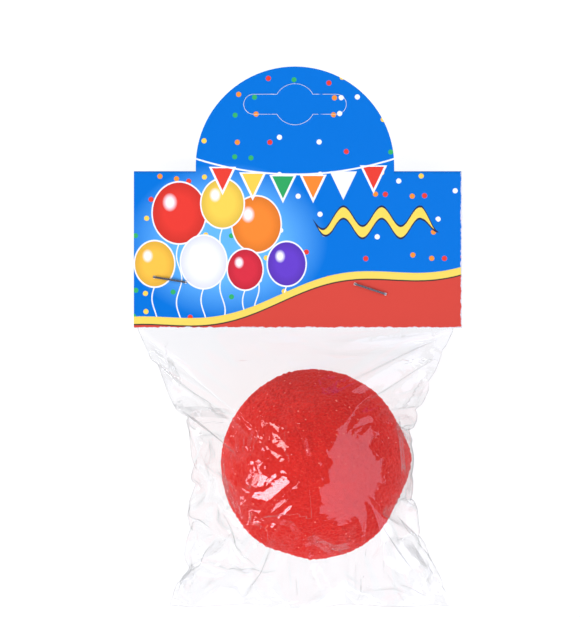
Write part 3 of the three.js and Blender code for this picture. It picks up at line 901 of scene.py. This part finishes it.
def card_finish():
    material, tree, shader = finish_tree("printed_board")
    place = place_on_card(tree)
    x, y, z = split(tree, place)
    facing = tree.nodes.new("ShaderNodeNewGeometry")
    front = tree.nodes.new("ShaderNodeVectorMath")
    front.operation = "DOT_PRODUCT"
    front.inputs[1].default_value = pack_front
    tree.links.new(facing.outputs["True Normal"], front.inputs[0])
    outwards = math_of(tree, "MULTIPLY", front.outputs["Value"], z)
    printed = math_of(tree, "GREATER_THAN", outwards, 0.05)

    worn = noise_of(tree, place, 1.3, 4)
    from_foot = math_of(tree, "SUBTRACT", y, math_of(tree, "MULTIPLY", worn, 0.9))
    from_right = math_of(tree, "SUBTRACT", card_width / 2 - 0.42, x)
    from_right = math_of(tree, "MULTIPLY_ADD", worn, 0.9, from_right)
    rubbed_foot = inside(tree, from_foot, -0.22, 0.06)
    rubbed_right = inside(tree, from_right, 0.35, 0.08)
    rubbed = math_of(tree, "MAXIMUM", rubbed_foot, rubbed_right)
    cut = slot_distance(tree, x, y)
    torn = math_of(tree, "MULTIPLY_ADD", worn, 0.5, math_of(tree, "ABSOLUTE", cut))
    rubbed = math_of(tree, "MAXIMUM", rubbed, inside(tree, torn, 0.23, 0.06))
    ink = math_of(tree, "MULTIPLY", printed, math_of(tree, "SUBTRACT", 1.0, rubbed), clamp=True)

    fibre = noise_of(tree, place, 0.5, 4)
    board = colour_over(tree, (0.80, 0.80, 0.79, 1), fibre, (0.66, 0.66, 0.64, 1))
    behind = math_of(tree, "LESS_THAN", z, 0.0)
    picture = colour_over(tree, printed_picture(tree, place), behind, blue_ink)
    tree.links.new(colour_over(tree, board, ink, picture), shader.inputs["Base Color"])
    tree.links.new(ramp_between(tree, ink, 0.0, 1.0, 0.85, 0.38), shader.inputs["Roughness"])
    shader.inputs["Specular IOR Level"].default_value = 0.12
    swell = math_of(tree, "MULTIPLY_ADD", noise_of(tree, place, 14, 1), 6.0, fibre)
    flap = ramp_between(tree, cut, 0.6, 0.0, 0.0, 5.0)
    sunk = ramp_between(tree, cut, 0.0, -0.7, 5.0, 1.5)
    swell = math_of(tree, "ADD", swell, math_of(tree, "MINIMUM", flap, sunk))
    tree.links.new(bump_of(tree, swell, 0.03 * mm, 0.7), shader.inputs["Normal"])
    return material


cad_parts["header_card"].material_slots[0].material = card_finish()


# Staples: bright drawn wire, bent to a crown on the front panel, with two legs through
# the card and the film that are clinched inwards behind.
def staple_finish():
    material, tree, shader = finish_tree("staple_wire")
    place = place_in_mm(tree)
    drawn = noise_of(tree, place, 0.25, 3)
    tint = colour_over(tree, (0.16, 0.17, 0.19, 1), drawn, (0.40, 0.41, 0.43, 1))
    tree.links.new(tint, shader.inputs["Base Color"])
    shader.inputs["Metallic"].default_value = 1.0
    tree.links.new(ramp_between(tree, drawn, 0.3, 0.7, 0.25, 0.42), shader.inputs["Roughness"])
    tree.links.new(bump_of(tree, drawn, 0.02 * mm, 0.4), shader.inputs["Normal"])
    return material


for name in ("staple_left", "staple_right"):
    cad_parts[name].material_slots[0].material = staple_finish()


# Floor: a plain white translucent sheet, lit mostly from below, so that shadows nearly
# vanish. The film doesn't mirror it.
floor_size = 3.0
floor_drop = 0.02 * mm
deselect_all()
bpy.ops.mesh.primitive_plane_add(size=floor_size, location=(0, 0, 0))
floor = bpy.context.object
floor.name = "floor"
floor.data.transform(Matrix.Translation((0, 0, -floor_drop)))
floor_material, floor_tree, floor_shader = finish_tree("pale_floor")
floor_shader.inputs["Base Color"].default_value = (0.18, 0.18, 0.18, 1)
floor_shader.inputs["Roughness"].default_value = 1.0
floor_shader.inputs["Specular IOR Level"].default_value = 0.0
floor_shader.inputs["Emission Color"].default_value = (1, 1, 1, 1)
floor_shader.inputs["Emission Strength"].default_value = 0.88
floor.data.materials.append(floor_material)
floor.visible_glossy = False


# Light: two narrow soft boxes on the left and a large dim wall on the right, which the
# film mirrors, a fill at the back, which it does not, and a grey room.
def soft_box(name, way, distance, width, height, radiance, blue=1.0, mirrored=True):
    """A rectangle of light that faces the ball. way points to it in the pack's plane."""
    light = bpy.data.lights.new(name, "AREA")
    light.shape = "RECTANGLE"
    light.size = width
    light.size_y = height
    light.energy = radiance * math.pi * width * height
    light.color = (0.96, 0.98, blue)
    lamp = bpy.data.objects.new(name, light)
    out = (pack.to_3x3() @ Vector(way)).normalized()
    lamp.location = Vector((0, 0, film_radius)) + distance * out
    lamp.rotation_euler = out.to_track_quat("Z", "Y").to_euler()
    lamp.visible_glossy = mirrored
    bpy.context.scene.collection.objects.link(lamp)


soft_box("key_left", (-0.74, -0.38, 0.56), 0.85, 0.26, 0.60, 12.0, blue=1.1)
soft_box("strip_left", (-0.75, 0.45, 0.50), 0.85, 0.10, 0.50, 8.0)
soft_box("wall_right", (0.73, -0.24, 0.66), 0.80, 1.9, 1.2, 1.5, blue=1.25)
soft_box("fill_back", (-0.35, 0.72, 0.60), 0.90, 0.7, 0.7, 1.0, mirrored=False)
room = bpy.data.worlds.new("room")
bpy.context.scene.world = room
room.use_nodes = True
room_tree = room.node_tree
aim = room_tree.nodes.new("ShaderNodeTexCoord")
right, back, up = split(room_tree, aim.outputs["Generated"])
low = ramp_between(room_tree, up, 0.3, 0.0)
near = math_of(room_tree, "MULTIPLY_ADD", math_of(room_tree, "ADD", right, back), -0.2, 0.31)
level = math_of(room_tree, "MULTIPLY_ADD", low, near, 0.13)
room_tree.nodes["Background"].inputs["Color"].default_value = (0.95, 0.97, 1.0, 1)
room_tree.links.new(level, room_tree.nodes["Background"].inputs["Strength"])


# Camera: square above the card's printed front, as in the photo, with a long lens.
photo_width = 580
photo_height = 617
pixels_per_mm = 3.77
card_middle_px = 298
card_foot_px = 328
camera_distance = 700 * mm
sensor = 36.0
view_width = photo_width / pixels_per_mm * mm
view_x = card_middle + (photo_width / 2 - card_middle_px) / pixels_per_mm * mm
view_y = card_foot + (card_foot_px - photo_height / 2) / pixels_per_mm * mm
lens = bpy.data.cameras.new("camera")
lens.sensor_fit = "HORIZONTAL"
lens.sensor_width = sensor
lens.lens = sensor * camera_distance / view_width
lens.clip_start = 10 * mm
lens.clip_end = 10
camera = bpy.data.objects.new("camera", lens)
bpy.context.scene.collection.objects.link(camera)
camera.matrix_world = pack @ Matrix.Translation((view_x, view_y, camera_distance))
bpy.context.scene.camera = camera

look = bpy.context.scene.view_settings
look.view_transform = "Standard"
look.look = "None"
bpy.context.scene.cycles.transparent_max_bounces = 32
bpy.context.scene.cycles.max_bounces = 12
